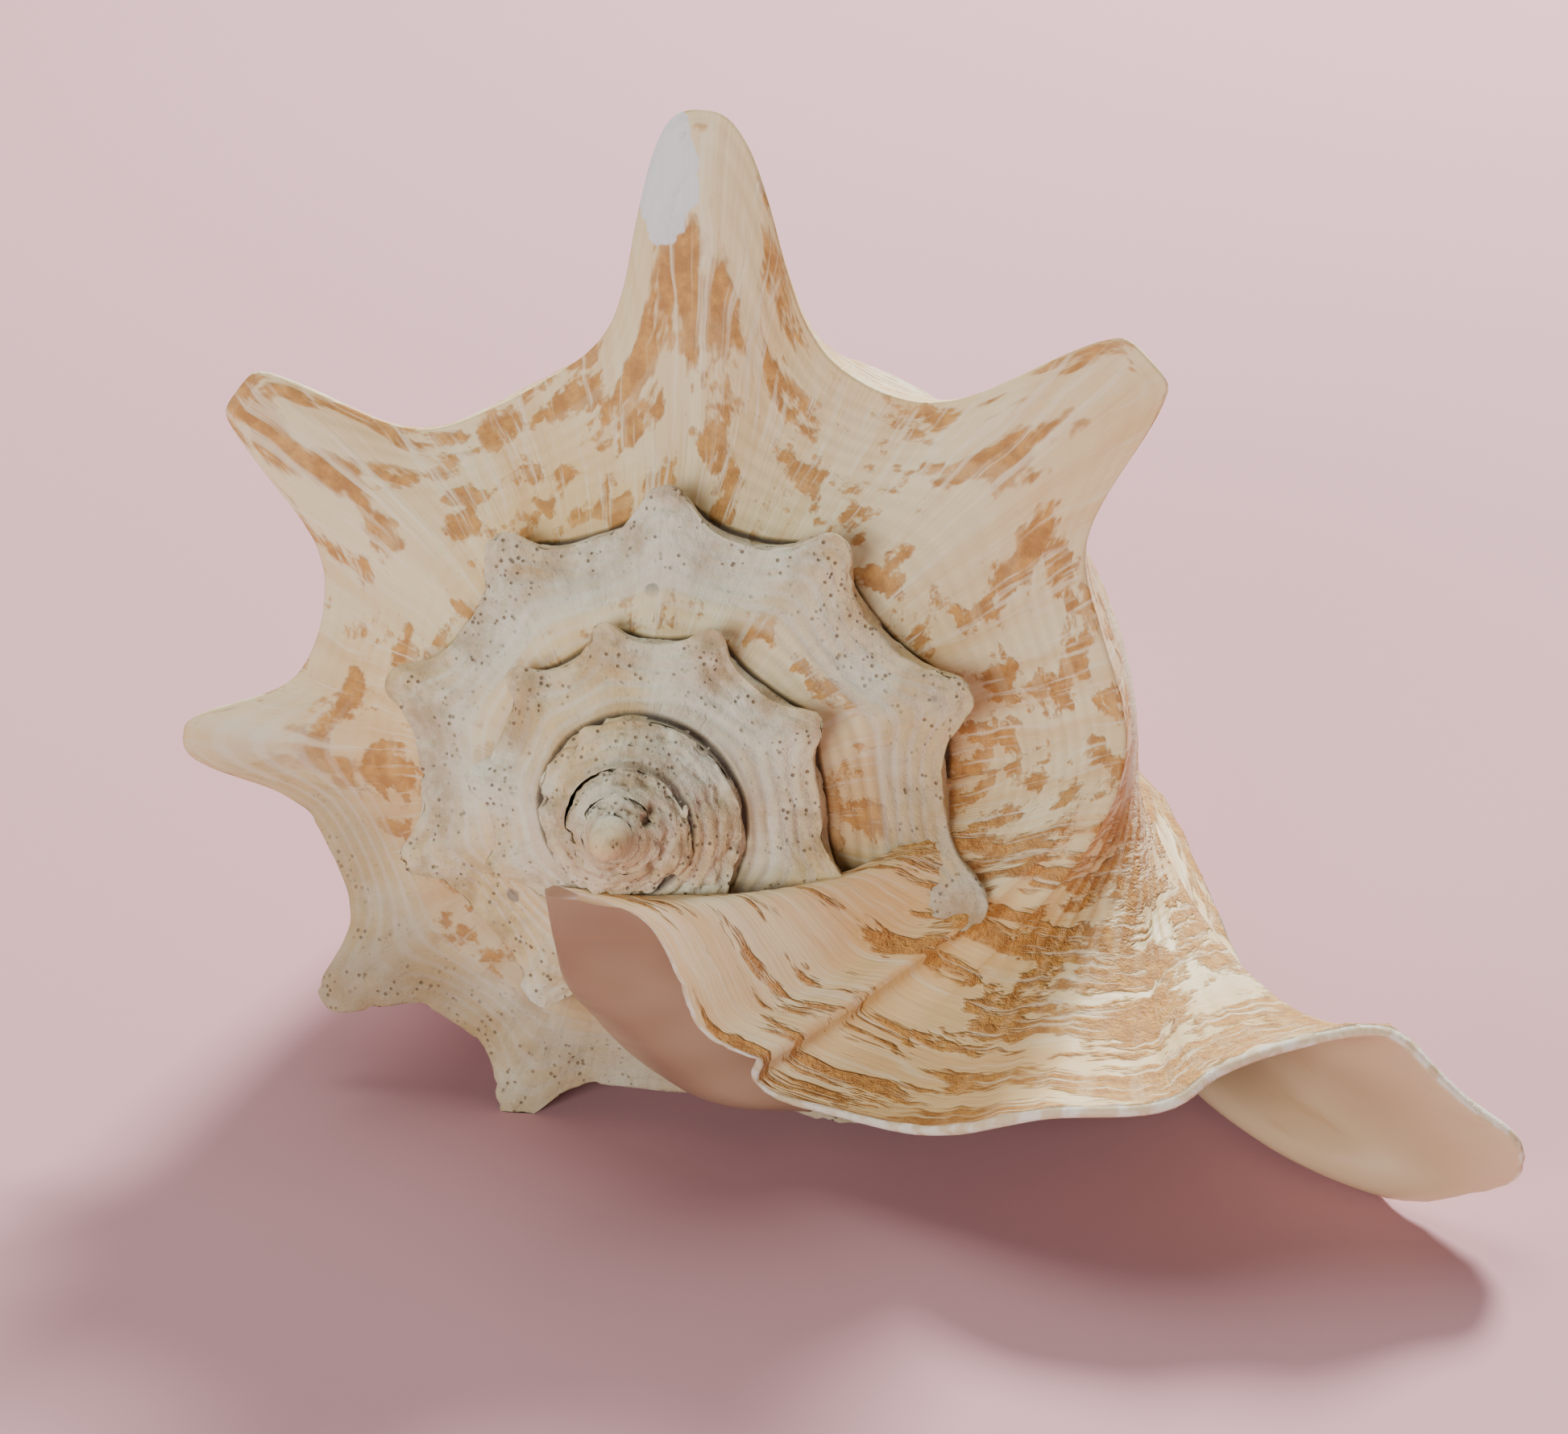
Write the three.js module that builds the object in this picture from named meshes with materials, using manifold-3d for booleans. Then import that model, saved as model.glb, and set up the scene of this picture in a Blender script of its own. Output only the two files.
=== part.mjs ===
// A large conch shell lying on its opening, modelled as the one piece it grew as.
// Millimetres, +Z up. The coiling axis runs back along +Y from the apex, its front end tipped up, and the
// flared lip spreads towards +X. The shell is laid out round its coiling axis first: x right, y up and z the
// distance below the apex. It is then tipped and set down on the floor.
import * as THREE from 'three';
import ManifoldModule from 'manifold-3d';

const wasm = await ManifoldModule();
wasm.setup();
const { Manifold, Mesh } = wasm;

// ---- driving dimensions ----
const GROWTH_PER_TURN = Math.exp(0.48); // how much wider each whorl is than the one before
const SHOULDER_RADIUS = 62; // shoulder radius where the growth angle is 0, at the top of the shell
const SHOULDER_DROP = 45; // how far that shoulder lies below the apex
const CANAL_END = 213; // front end of the siphonal canal below the apex
const AXIS_TILT = 12; // degrees the apex end is tipped up
const APEX = new THREE.Vector3(-27.5, -108.5, 62); // apex above the floor, from the middle of the shell's box
const WALL = 3.2; // thickness of the outer wall
const LIP_WALL = 2.6; // thickness of the flared lip at its edge
const COLUMELLA = 8.5; // radius of the pillar round the axis
const APEX_ANGLE = -2060; // growth angle where the modelled spire begins
const LIP_ANGLE = 80; // growth angle where the last whorl turns into the flared lip
const HOLLOW_ANGLE = -143; // growth angle where the modelled hollow of the last whorl begins
const FACET_TOLERANCE = 0.35; // how far the facets may stray from the smooth surface
const ARC = 228; // degrees of turn swept as one solid

// Body wall: share of the way from the shoulder to the canal, share of the shoulder radius.
const WALL_PROFILE = [
  [0, 1], [0.06, 1], [0.14, 0.985], [0.25, 0.93], [0.4, 0.81],
  [0.55, 0.64], [0.7, 0.45], [0.82, 0.3], [0.92, 0.2], [1, 0.16],
];
// Big spines of the last whorl: growth angle, height, half width in degrees, lean to the apex, sideways bend.
// The first row is the broad swelling under the lip.
const SPINES = [
  [-216, 14, 12, 0, 0], [-159, 10.3, 4.9, 0, 0], [-128, 13.5, 5.1, 1, 0], [-90, 19, 5.6, 2, 0],
  [-49.5, 27, 6.4, 2, -2], [4.5, 36, 7.5, 3, -5], [46, 29.5, 7.1, 3, 0],
];
const KNOB_ANGLES = [
  -253, -291, -326, -358, -393, -430, -470, -515, -562, -610, -659, -698, -732, -765, -804, -837, -875, -913, -951,
];
const KNOB_HEIGHT = 0.19; // small knobs of the spire, as shares of the shoulder radius there
const KNOBS_WORN = [-990, -860]; // growth angles between which the knobs are worn away
const SUTURE_DEPTH = 0.035; // how far each ramp starts below the shoulder before it, as a share of its radius
const LIP_SWEEP = 6; // degrees by which the lip starts later on the ramp
const LIP_SWELL = 4; // how far the lip swells towards the apex side over the spire

// Edge of the flared lip, from the top canal round to the front canal. Each row has the station along the
// profile (0 suture, 1 shoulder, 2 front canal), the point from the foot of the apex, and the way it grows.
const LIP_EDGE = [
  [0, [-9, 13, 48], [-1, 0, 0]],
  [0.15, [3, 9, 47], [-0.9, -0.3, -0.3]],
  [0.35, [9, 10, 37], [-0.8, -0.5, -0.2]],
  [0.55, [12, 12, 27], [-0.7, -0.6, -0.2]],
  [0.75, [20, 12, 23], [-0.6, -0.6, -0.3]],
  [1, [29, 14, 15], [-0.3, -0.8, -0.1]],
  [1.07, [46, 8, 17], [0, -0.9, 0.2]],
  [1.14, [63, 3, 25], [0.1, -0.8, 0.4]],
  [1.2, [79, 3, 28], [0.2, -0.8, 0.5]],
  [1.25, [86, 7, 32], [0.3, -0.7, 0.5]],
  [1.3, [95, 12, 34], [0.4, -0.6, 0.5]],
  [1.36, [109, 15, 36], [0.6, -0.5, 0.5]],
  [1.42, [118, 15, 28], [0.8, -0.4, 0.3]],
  [1.48, [129, 15, 19], [0.95, -0.2, 0.1]],
  [1.54, [126, 20, 9], [0.95, -0.1, -0.1]],
  [1.6, [112, 26, 2], [0.9, 0, -0.2]],
  [1.68, [98, 50, -0.6], [0.9, 0, -0.3]],
  [1.76, [87, 86, -0.6], [0.9, 0.05, -0.3]],
  [1.84, [77, 121, -0.6], [0.85, 0.15, -0.4]],
  [1.91, [65, 154, -0.6], [0.75, 0.35, -0.5]],
  [1.96, [46, 182, -0.6], [0.6, 0.5, -0.6]],
  [2, [20, 203, -0.6], [0.5, 0.3, -0.8]],
];

// Callus beside the opening, from the top canal down. Each row has five points from the foot of the apex,
// across it: buried edge, crest, middle, inside, buried end.
const CALLUS = [
  [[-13, 21, 44.5], [-11.2, 16.5, 45.5], [-5, 14, 46], [5, 15, 45], [14, 22, 43]],
  [[-11, 22, 37], [-9.8, 17.5, 37], [-2, 15, 38.5], [8, 16, 39], [20, 24, 39]],
  [[-10.5, 23.5, 29], [-9.6, 18.8, 29], [-1.5, 15, 30], [12, 17, 32], [24, 27, 34]],
  [[-7.8, 29, 19.5], [-7.2, 24.2, 19.4], [1.5, 18, 21.5], [14, 19, 25], [30, 29, 28]],
  [[-0.6, 30, 12.2], [-0.2, 25, 11.6], [9, 19, 15], [19, 21, 19], [31, 31, 23]],
  [[10.5, 30, 8.6], [10.5, 24.5, 6.6], [17, 20.5, 9.5], [25, 23, 14], [35, 32, 18]],
  [[28, 31, 9.5], [25, 26, 5.8], [27, 24.5, 8], [31, 27, 11.5], [36, 33, 15]],
];
const CALLUS_DEPTH = 5; // how far the callus reaches into the whorl below it

// Stations of the sections, and where sections stand across each bump, coarser on the older, smaller whorls.
const LAST_WHORL = {
  stations: [0, 0.35, 0.6, 0.78, 0.9, 1, 1.025, 1.055, 1.09, 1.14, 1.21, 1.3, 1.42, 1.55, 1.68, 1.8, 1.91, 2],
  shares: [-1.7, -0.9, -0.4, 0, 0.4, 0.9, 1.7],
  step: 14,
};
const INNER_WHORLS = {
  stations: [0, 0.4, 0.7, 0.88, 1, 1.05, 1.13, 1.3, 1.5, 1.7, 1.88],
  shares: [-1.3, -0.55, 0, 0.55, 1.3],
  step: 18,
};
const APEX_WHORLS = { stations: [0, 0.5, 0.85, 1, 1.1], shares: [-0.9, 0, 0.9], step: 24 };
const LUMEN_STATIONS = [0.35, 0.7, 0.9, 1, 1.04, 1.12, 1.24, 1.38, 1.54, 1.7, 1.82, 1.92];

// ---- growth of the shell ----
const radians = THREE.MathUtils.degToRad;
const clamp = THREE.MathUtils.clamp;
const growth = (angle) => GROWTH_PER_TURN ** (angle / 360);
const shoulderRadius = (angle) => SHOULDER_RADIUS * growth(angle);
const shoulderDrop = (angle) => SHOULDER_DROP * growth(angle) ** 0.7;
const canalDrop = (angle) => CANAL_END + 0.1 * clamp(angle, -150, LIP_ANGLE);
const lengthBelow = (angle) => canalDrop(angle) - shoulderDrop(angle);

// A smooth curve through hand-set stations: rows of [station, value, ...].
function curve(rows, x, pick = (row) => row[1]) {
  const at = clamp(x, rows[0][0], rows.at(-1)[0]);
  let i = rows.findIndex((row) => row[0] > at) - 1;
  if (i < 0) i = rows.length - 2;
  const slope = (k) => (pick(rows[k + 1]) - pick(rows[k])) / (rows[k + 1][0] - rows[k][0]);
  const tangent = (k) => {
    if (k === 0) return slope(0);
    if (k === rows.length - 1) return slope(k - 1);
    const before = rows[k][0] - rows[k - 1][0];
    const after = rows[k + 1][0] - rows[k][0];
    return (slope(k) * before + slope(k - 1) * after) / (before + after);
  };
  const h = rows[i + 1][0] - rows[i][0];
  return hermite((at - rows[i][0]) / h, pick(rows[i]), tangent(i) * h, pick(rows[i + 1]), tangent(i + 1) * h);
}

function hermite(t, start, startPull, end, endPull) {
  const t2 = t * t;
  const t3 = t2 * t;
  return (2 * t3 - 3 * t2 + 1) * start + (t3 - 2 * t2 + t) * startPull
    + (3 * t2 - 2 * t3) * end + (t3 - t2) * endPull;
}

// Section of the whorl in its own plane: radius from the axis and drop below the apex.
function profile(angle, station) {
  const shoulder = shoulderRadius(angle);
  const drop = shoulderDrop(angle);
  if (station <= 1) {
    const innerRadius = 0.86 * shoulderRadius(angle - 360);
    const innerDrop = shoulderDrop(angle - 360) + SUTURE_DEPTH * shoulderRadius(angle - 360);
    const dish = 0.035 * shoulder * Math.sin(Math.PI * station);
    return [innerRadius + (shoulder - innerRadius) * station, innerDrop + (drop - innerDrop) * station + dish];
  }
  return [shoulder * curve(WALL_PROFILE, station - 1), drop + lengthBelow(angle) * (station - 1)];
}

// Distance along the section from the shoulder, negative on the ramp.
function alongSection(angle, station) {
  const rampWidth = shoulderRadius(angle) - 0.86 * shoulderRadius(angle - 360);
  return (station - 1) * (station < 1 ? rampWidth : lengthBelow(angle));
}

// One spine or knob: how far it lifts the wall at a point, as a rounded bell with a flared foot.
function bell(angle, station, centre, halfWidth, stretch) {
  const width = radians(halfWidth) * shoulderRadius(centre);
  const across = (radians(angle - centre) * shoulderRadius(centre)) / width;
  const along = alongSection(angle, station) / (width * stretch);
  const lift = 1 / (1 + Math.hypot(across, along) ** 3);
  return Math.max(0, (lift - 0.02) / 0.98);
}

function outerPoint(angle, station, withSpines = true) {
  let [radius, drop] = profile(angle, station);
  let sideways = 0;
  if (withSpines) {
    for (const [centre, height, halfWidth, lean, bend] of SPINES) {
      const lift = bell(angle, station, centre, halfWidth, 1.15);
      radius += height * lift;
      drop -= lean * lift;
      sideways += bend * lift;
    }
    for (const centre of KNOB_ANGLES) {
      const height = KNOB_HEIGHT * shoulderRadius(centre) * THREE.MathUtils.smoothstep(centre, ...KNOBS_WORN);
      const lift = bell(angle, station, centre, 6.2, 1.45);
      radius += height * lift;
      drop -= 0.12 * height * lift;
    }
  }
  return axisPoint(angle + THREE.MathUtils.radToDeg(sideways / radius), radius, drop);
}

function axisPoint(angle, radius, drop) {
  const turn = radians(90 - angle);
  return new THREE.Vector3(radius * Math.cos(turn), radius * Math.sin(turn), drop);
}

// ---- setting down on the floor ----
const tilt = radians(AXIS_TILT);
const FLOOR_FROM_COIL = new THREE.Matrix4().makeBasis(
  new THREE.Vector3(1, 0, 0),
  new THREE.Vector3(0, Math.sin(tilt), Math.cos(tilt)),
  new THREE.Vector3(0, Math.cos(tilt), -Math.sin(tilt)),
);
const COIL_FROM_FLOOR = FLOOR_FROM_COIL.clone().invert();

// Points are set down with the foot of the apex at X 0, Y 0 and the floor at Z 0.
function toFloor(point) {
  return point.clone().applyMatrix4(FLOOR_FROM_COIL).add(new THREE.Vector3(0, 0, APEX.z));
}

function toCoil(point) {
  return point.clone().setZ(point.z - APEX.z).applyMatrix4(COIL_FROM_FLOOR);
}

// ---- solids ----
// Two matching sheets of points, closed along their four edges.
function plate(outer, inner) {
  const rows = outer.length;
  const columns = outer[0].length;
  const points = [...outer.flat(), ...inner.flat()];
  const half = rows * columns;
  const triangles = [];
  const quad = (a, b, c, d) => triangles.push(a, b, c, a, c, d);
  for (let i = 0; i < rows - 1; i++) {
    for (let j = 0; j < columns - 1; j++) {
      const a = i * columns + j;
      quad(a, a + 1, a + columns + 1, a + columns);
      quad(half + a, half + a + columns, half + a + columns + 1, half + a + 1);
    }
  }
  const rim = [];
  for (let j = 0; j < columns - 1; j++) rim.push(j);
  for (let i = 0; i < rows - 1; i++) rim.push(i * columns + columns - 1);
  for (let j = columns - 1; j > 0; j--) rim.push((rows - 1) * columns + j);
  for (let i = rows - 1; i > 0; i--) rim.push(i * columns);
  rim.forEach((a, k) => {
    const b = rim[(k + 1) % rim.length];
    if (a < b) quad(b, a, half + a, half + b);
    else quad(a, half + a, half + b, b);
  });
  return solid(points.map(toFloor), triangles);
}

// A manifold from points and triangles, turned outward if it came out inside out.
function solid(points, triangles) {
  const build = (list) => new Manifold(new Mesh({
    numProp: 3,
    vertProperties: new Float32Array(points.flatMap((point) => point.toArray())),
    triVerts: new Uint32Array(list),
  }));
  const first = build(triangles);
  if (first.volume() > 0) return first;
  const flipped = [];
  for (let i = 0; i < triangles.length; i += 3) flipped.push(triangles[i], triangles[i + 2], triangles[i + 1]);
  return build(flipped);
}

function fromGeometry(geometry) {
  const bare = geometry.index ? geometry.toNonIndexed() : geometry;
  const position = bare.getAttribute('position');
  const points = [];
  const triangles = [];
  const seen = new Map();
  for (let i = 0; i < position.count; i++) {
    const point = new THREE.Vector3().fromBufferAttribute(position, i);
    const key = point.toArray().map((value) => Math.round(value * 1e4)).join();
    if (!seen.has(key)) {
      seen.set(key, points.length);
      points.push(point);
    }
    triangles.push(seen.get(key));
  }
  const kept = [];
  for (let i = 0; i < triangles.length; i += 3) {
    const [a, b, c] = triangles.slice(i, i + 3);
    if (a !== b && b !== c && a !== c) kept.push(a, b, c);
  }
  return solid(points, kept);
}

// Growth angles of the sections, closer together across each spine and knob.
function sectionAngles(from, to, { shares, step }) {
  const angles = [from, to];
  for (let angle = from + step; angle < to - step / 3; angle += step) angles.push(angle);
  const bumps = [...SPINES.map(([centre, , width]) => [centre, width]), ...KNOB_ANGLES.map((c) => [c, 6.2])];
  for (const [centre, width] of bumps) {
    for (const share of shares) angles.push(centre + share * width);
  }
  const sorted = angles.filter((angle) => angle >= from && angle <= to).sort((a, b) => a - b);
  return sorted.filter((angle, i) => i === 0 || angle === to || (angle - sorted[i - 1] > 1.2 && to - angle > 1.2));
}

// Everything from the outer wall to the axis over part of a turn.
function whorl(from, to) {
  const detail = to > LIP_ANGLE - 360 ? LAST_WHORL : to > LIP_ANGLE - 900 ? INNER_WHORLS : APEX_WHORLS;
  const angles = sectionAngles(from, to, detail);
  const outer = angles.map((angle) => detail.stations.map((station) => outerPoint(angle, station)));
  return plate(outer, axisSheet(angles, outer, 1.5));
}

// Inner side of a solid round the axis, opposite its outer sheet.
function axisSheet(angles, outer, radius) {
  return outer.map((row, i) => row.map((_, j) => {
    const drop = THREE.MathUtils.lerp(row[0].z, row.at(-1).z, j / (row.length - 1));
    return axisPoint(angles[i], radius, drop);
  }));
}

// Space inside the last whorl, bounded by the wall thickness and the pillar.
function lumen() {
  const angles = [];
  for (let angle = HOLLOW_ANGLE; angle <= LIP_ANGLE + 8; angle += 9) angles.push(angle);
  const wall = angles.map((angle) => {
    const inset = WALL + 6 * clamp((HOLLOW_ANGLE + 27 - angle) / 27, 0, 1);
    return LUMEN_STATIONS.map((station) => {
      const [radius, drop] = profile(angle, station);
      const [nextRadius, nextDrop] = profile(angle, station + 0.002);
      const length = Math.hypot(nextRadius - radius, nextDrop - drop);
      const inner = Math.max(radius - ((nextDrop - drop) / length) * inset, COLUMELLA + 1.5);
      return axisPoint(angle, inner, drop + ((nextRadius - radius) / length) * inset);
    });
  });
  return plate(wall, axisSheet(angles, wall, COLUMELLA));
}

// Pillar round the axis, with a small blunt cone at the apex.
function pillar() {
  const end = CANAL_END - 8;
  const outline = [
    [0, 0.5], [2, 1.5], [3.6, 4], [COLUMELLA - 2, 18], [COLUMELLA + 1, 60], [COLUMELLA, end], [0, end],
  ];
  const shape = new THREE.LatheGeometry(outline.map(([radius, drop]) => new THREE.Vector2(radius, drop)), 24);
  return fromGeometry(shape.rotateX(Math.PI / 2).applyMatrix4(FLOOR_FROM_COIL).translate(0, 0, APEX.z));
}

// Growth angle where the lip starts at a station, later on the ramp than on the wall.
function sweptOn(station) {
  return LIP_ANGLE + LIP_SWEEP * (1 - THREE.MathUtils.smoothstep(station, 0.2, 0.95));
}

// Points of the flared lip: t runs from the last whorl (0) to the lip's edge (1).
function lipPoint(t, station) {
  const begin = sweptOn(station);
  const start = outerPoint(begin, station);
  const pull = outerPoint(begin + 1, station, false).sub(outerPoint(begin - 1, station, false)).normalize();
  const axes = ['x', 'y', 'z'];
  const pick = (column) => axes.map((_, k) => curve(LIP_EDGE, station, (row) => row[column][k]));
  const edge = toCoil(new THREE.Vector3(...pick(1)));
  const edgePull = new THREE.Vector3(...pick(2)).normalize().applyMatrix4(COIL_FROM_FLOOR);
  const reach = 0.9 * edge.distanceTo(start);
  const swell = 4 * t * (1 - t) * LIP_SWELL * (1 - THREE.MathUtils.smoothstep(station, 0.95, 1.15));
  const point = axes.map((k) => hermite(t, start[k], pull[k] * reach, edge[k], edgePull[k] * reach));
  return new THREE.Vector3(...point).add(new THREE.Vector3(0, 0, -swell));
}

function flaredLip() {
  const steps = [-0.04, 0, 0.07, 0.16, 0.26, 0.37, 0.48, 0.59, 0.7, 0.8, 0.88, 0.95, 1];
  const stations = [0, 0.15, 0.3, 0.45, 0.6, 0.8, 0.93, 1, 1.035, 1.07, 1.105, 1.14, 1.17, 1.2, 1.225, 1.25, 1.275,
    1.3, 1.33, 1.36, 1.39, 1.42, 1.45, 1.48, 1.51, 1.54, 1.57, 1.6, 1.64, 1.68, 1.72, 1.76, 1.8, 1.84, 1.88, 1.91, 1.94, 1.97, 2];
  const outer = steps.map((t) => stations.map((station) => lipPoint(t, station)));
  const inner = steps.map((t, i) => stations.map((station, j) => {
    const alongLip = lipPoint(t, station + 0.01).sub(lipPoint(t, station - 0.01));
    const alongGrowth = lipPoint(t + 0.01, station).sub(lipPoint(t - 0.01, station));
    const inward = alongGrowth.cross(alongLip).normalize();
    return outer[i][j].clone().addScaledVector(inward, THREE.MathUtils.lerp(WALL, LIP_WALL, clamp(t, 0, 1)));
  }));
  return plate(outer, inner);
}

function callus() {
  const axes = ['x', 'y', 'z'];
  const outer = Array.from({ length: 13 }, (_, i) => Array.from({ length: 9 }, (_, j) => {
    const across = [0, 1, 2, 3, 4].map((column) => [
      column, ...axes.map((_, k) => curve(CALLUS.map((row, place) => [place, row[column][k]]), i / 2)),
    ]);
    return toCoil(new THREE.Vector3(...axes.map((_, k) => curve(across, j / 2, (row) => row[k + 1]))));
  }));
  const inner = outer.map((row) => row.map((point) => {
    const share = 1 - CALLUS_DEPTH / Math.hypot(point.x, point.y);
    return new THREE.Vector3(point.x * share, point.y * share, point.z + 0.8 * CALLUS_DEPTH);
  }));
  return plate(outer, inner);
}

// What lies below the floor, cut away so that the shell rests on flats worn on its lip and lowest spine.
function belowFloor() {
  return fromGeometry(new THREE.BoxGeometry(500, 500, 40).translate(0, 100, -20));
}

function shell() {
  const arcs = [];
  for (let to = LIP_ANGLE; to > APEX_ANGLE; to -= ARC) arcs.push([to - ARC, to]);
  const [last, ...inner] = arcs.map(([from, to]) => whorl(from, to));
  const whole = Manifold.union([last.subtract(lumen()), ...inner, pillar(), flaredLip(), callus()])
    .subtract(belowFloor())
    .setTolerance(FACET_TOLERANCE / 5)
    .simplify(FACET_TOLERANCE);
  return whole.decompose().reduce((a, b) => (b.volume() > a.volume() ? b : a));
}

function toMesh(name, body, material) {
  const { numProp, vertProperties, triVerts } = body.translate(APEX.x, APEX.y, 0).getMesh();
  const position = new Float32Array((vertProperties.length / numProp) * 3);
  for (let i = 0; i < position.length / 3; i++) {
    for (let k = 0; k < 3; k++) position[3 * i + k] = vertProperties[numProp * i + k];
  }
  const geometry = new THREE.BufferGeometry();
  geometry.setAttribute('position', new THREE.BufferAttribute(position, 3));
  geometry.setIndex([...triVerts]);
  geometry.computeVertexNormals();
  const mesh = new THREE.Mesh(geometry, material);
  mesh.name = name;
  return mesh;
}

const shellMaterial = new THREE.MeshStandardMaterial({ color: 0xd8c6ab, roughness: 0.62, metalness: 0 });
const group = new THREE.Group();
group.name = 'large_conch_shell';
group.add(toMesh('conch_shell', shell(), shellMaterial));

export default group;
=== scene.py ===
# %% [markdown]
# # A large conch shell
# A conch is one piece of aragonite that the animal lays down at the lip of its shell, turn after turn.
# So this lesson builds it the way it grows: one long sheet that winds round the coiling axis, widens as it
# goes, pushes out knobs and spines at its shoulder, and ends in a flared lip. The sheet then folds over the
# rim of the lip and runs back inside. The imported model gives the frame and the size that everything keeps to.
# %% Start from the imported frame
import math
import bpy
import numpy as np
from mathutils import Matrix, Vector


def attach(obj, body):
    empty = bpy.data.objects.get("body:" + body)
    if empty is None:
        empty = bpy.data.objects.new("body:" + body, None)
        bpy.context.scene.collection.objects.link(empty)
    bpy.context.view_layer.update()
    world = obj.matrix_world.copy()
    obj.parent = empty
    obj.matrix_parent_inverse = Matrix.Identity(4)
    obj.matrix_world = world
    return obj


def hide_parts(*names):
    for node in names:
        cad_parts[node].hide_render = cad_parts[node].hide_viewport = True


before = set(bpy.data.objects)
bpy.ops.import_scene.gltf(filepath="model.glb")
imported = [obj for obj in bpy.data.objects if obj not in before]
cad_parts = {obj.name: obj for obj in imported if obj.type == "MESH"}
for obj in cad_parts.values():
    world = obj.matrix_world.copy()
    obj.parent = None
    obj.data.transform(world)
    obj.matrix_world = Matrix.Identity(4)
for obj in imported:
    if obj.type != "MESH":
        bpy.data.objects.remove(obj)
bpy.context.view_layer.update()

# %% [markdown]
# ## Growth law
# Every whorl of a shell is a scaled copy of the one before, which makes a logarithmic spiral. One angle, the
# growth angle, says how far the shell has grown, and it is 0 where the shoulder stands at the top of the
# lying shell. All lengths here are millimetres, and they turn to metres only when a mesh is made.
# %% Sizes and growth law
GROWTH_PER_TURN = math.exp(0.48)
SHOULDER_RADIUS = 62.0
SHOULDER_DROP = 45.0
CANAL_END = 213.0
DROP_EXPONENT = 0.7
CANAL_GROWTH = 0.1
SUTURE_RADIUS = 0.86
RAMP_DISH = 0.035
AXIS_TILT = math.radians(12)
APEX = np.array([-27.5, -108.5, 62.0])
LIP_ANGLE = 80.0
HOLLOW_ANGLE = -143.0
FIRST_ANGLE = -2300.0


def growth(angle):
    return GROWTH_PER_TURN ** (np.asarray(angle, float) / 360)


def shoulder_radius(angle):
    return SHOULDER_RADIUS * growth(angle)


def shoulder_drop(angle):
    return SHOULDER_DROP * growth(angle) ** DROP_EXPONENT


def length_below(angle):
    return CANAL_END + CANAL_GROWTH * np.clip(angle, -150, LIP_ANGLE) - shoulder_drop(angle)


radii = shoulder_radius(np.array([-360, 0, LIP_ANGLE]))
print("shoulder radius one turn back, now, at the lip:", radii.round(1))

# %% [markdown]
# ## Two tools: a smooth curve and smooth noise
# A curve through a few stations shapes the wall and the lip. Noise gives the unevenness that worn
# shell has. Both work on whole arrays at once, which keeps a fine mesh quick to make. The noise has a fixed
# seed, so the shell comes out the same each time.
# %% Smooth curve and noise
def curve(stations, values, x):
    xs, ys = np.asarray(stations, float), np.asarray(values, float)
    x = np.clip(np.asarray(x, float), xs[0], xs[-1])
    h = np.diff(xs)
    wide = ys.ndim > 1
    slope = np.diff(ys, axis=0) / (h[:, None] if wide else h)
    before, after = (h[:-1, None], h[1:, None]) if wide else (h[:-1], h[1:])
    middle = (slope[1:] * before + slope[:-1] * after) / (before + after)
    tangent = np.concatenate([slope[:1], middle, slope[-1:]])
    i = np.clip(np.searchsorted(xs, x, side="right") - 1, 0, len(xs) - 2)
    step, t = h[i], (x - xs[i]) / h[i]
    if wide:
        step, t = step[..., None], t[..., None]
    return hermite(t, ys[i], tangent[i] * step, ys[i + 1], tangent[i + 1] * step)


def hermite(t, start, start_pull, end, end_pull):
    t2, t3 = t * t, t * t * t
    leaving = (2 * t3 - 3 * t2 + 1) * start + (t3 - 2 * t2 + t) * start_pull
    return leaving + (3 * t2 - 2 * t3) * end + (t3 - t2) * end_pull


def smooth_step(low, high, x):
    t = np.clip((np.asarray(x, float) - low) / (high - low), 0, 1)
    return t * t * (3 - 2 * t)


def noise(points, size, seed=0, octaves=1):
    """Smooth noise from -1 to 1 with bumps of about the given size."""
    total, weight = 0.0, 0.0
    for octave in range(octaves):
        p = points * (2 ** octave / size) + seed * 17.13
        cell = np.floor(p).astype(np.int64)
        f = p - cell
        f = f * f * (3 - 2 * f)
        value = 0.0
        for corner in np.ndindex(2, 2, 2):
            c = cell + np.array(corner)
            h = (c[..., 0] * 73856093) ^ (c[..., 1] * 19349663) ^ (c[..., 2] * 83492791) ^ (seed * 2654435)
            h = (h ^ (h >> 13)) * 1274126177 & 0x7FFFFFFF
            share = np.prod(np.where(np.array(corner) == 1, f, 1 - f), axis=-1)
            value = value + share * ((h % 20011) / 10005.0 - 1)
        total = total + value * 0.5 ** octave
        weight += 0.5 ** octave
    return total / weight


print("noise check", noise(np.array([[1.0, 2.0, 3.0]]), 5).round(3))

# %% [markdown]
# ## The section that winds round
# Cut across a whorl and it shows a dished ramp from the suture out to the shoulder, then the long wall that
# narrows to the siphonal canal. A station runs along it: 0 at the suture, 1 at the shoulder and 2 at the
# front canal. The spines and knobs are bells that lift the wall outward at the shoulder, with a flared foot.
# %% Whorl section, spines and knobs
WALL_STATIONS = [0, 0.06, 0.14, 0.25, 0.4, 0.55, 0.7, 0.82, 0.92, 0.98, 1]
WALL_SHARES = [1, 1, 0.985, 0.93, 0.81, 0.64, 0.45, 0.3, 0.2, 0.16, 0.11]
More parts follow.
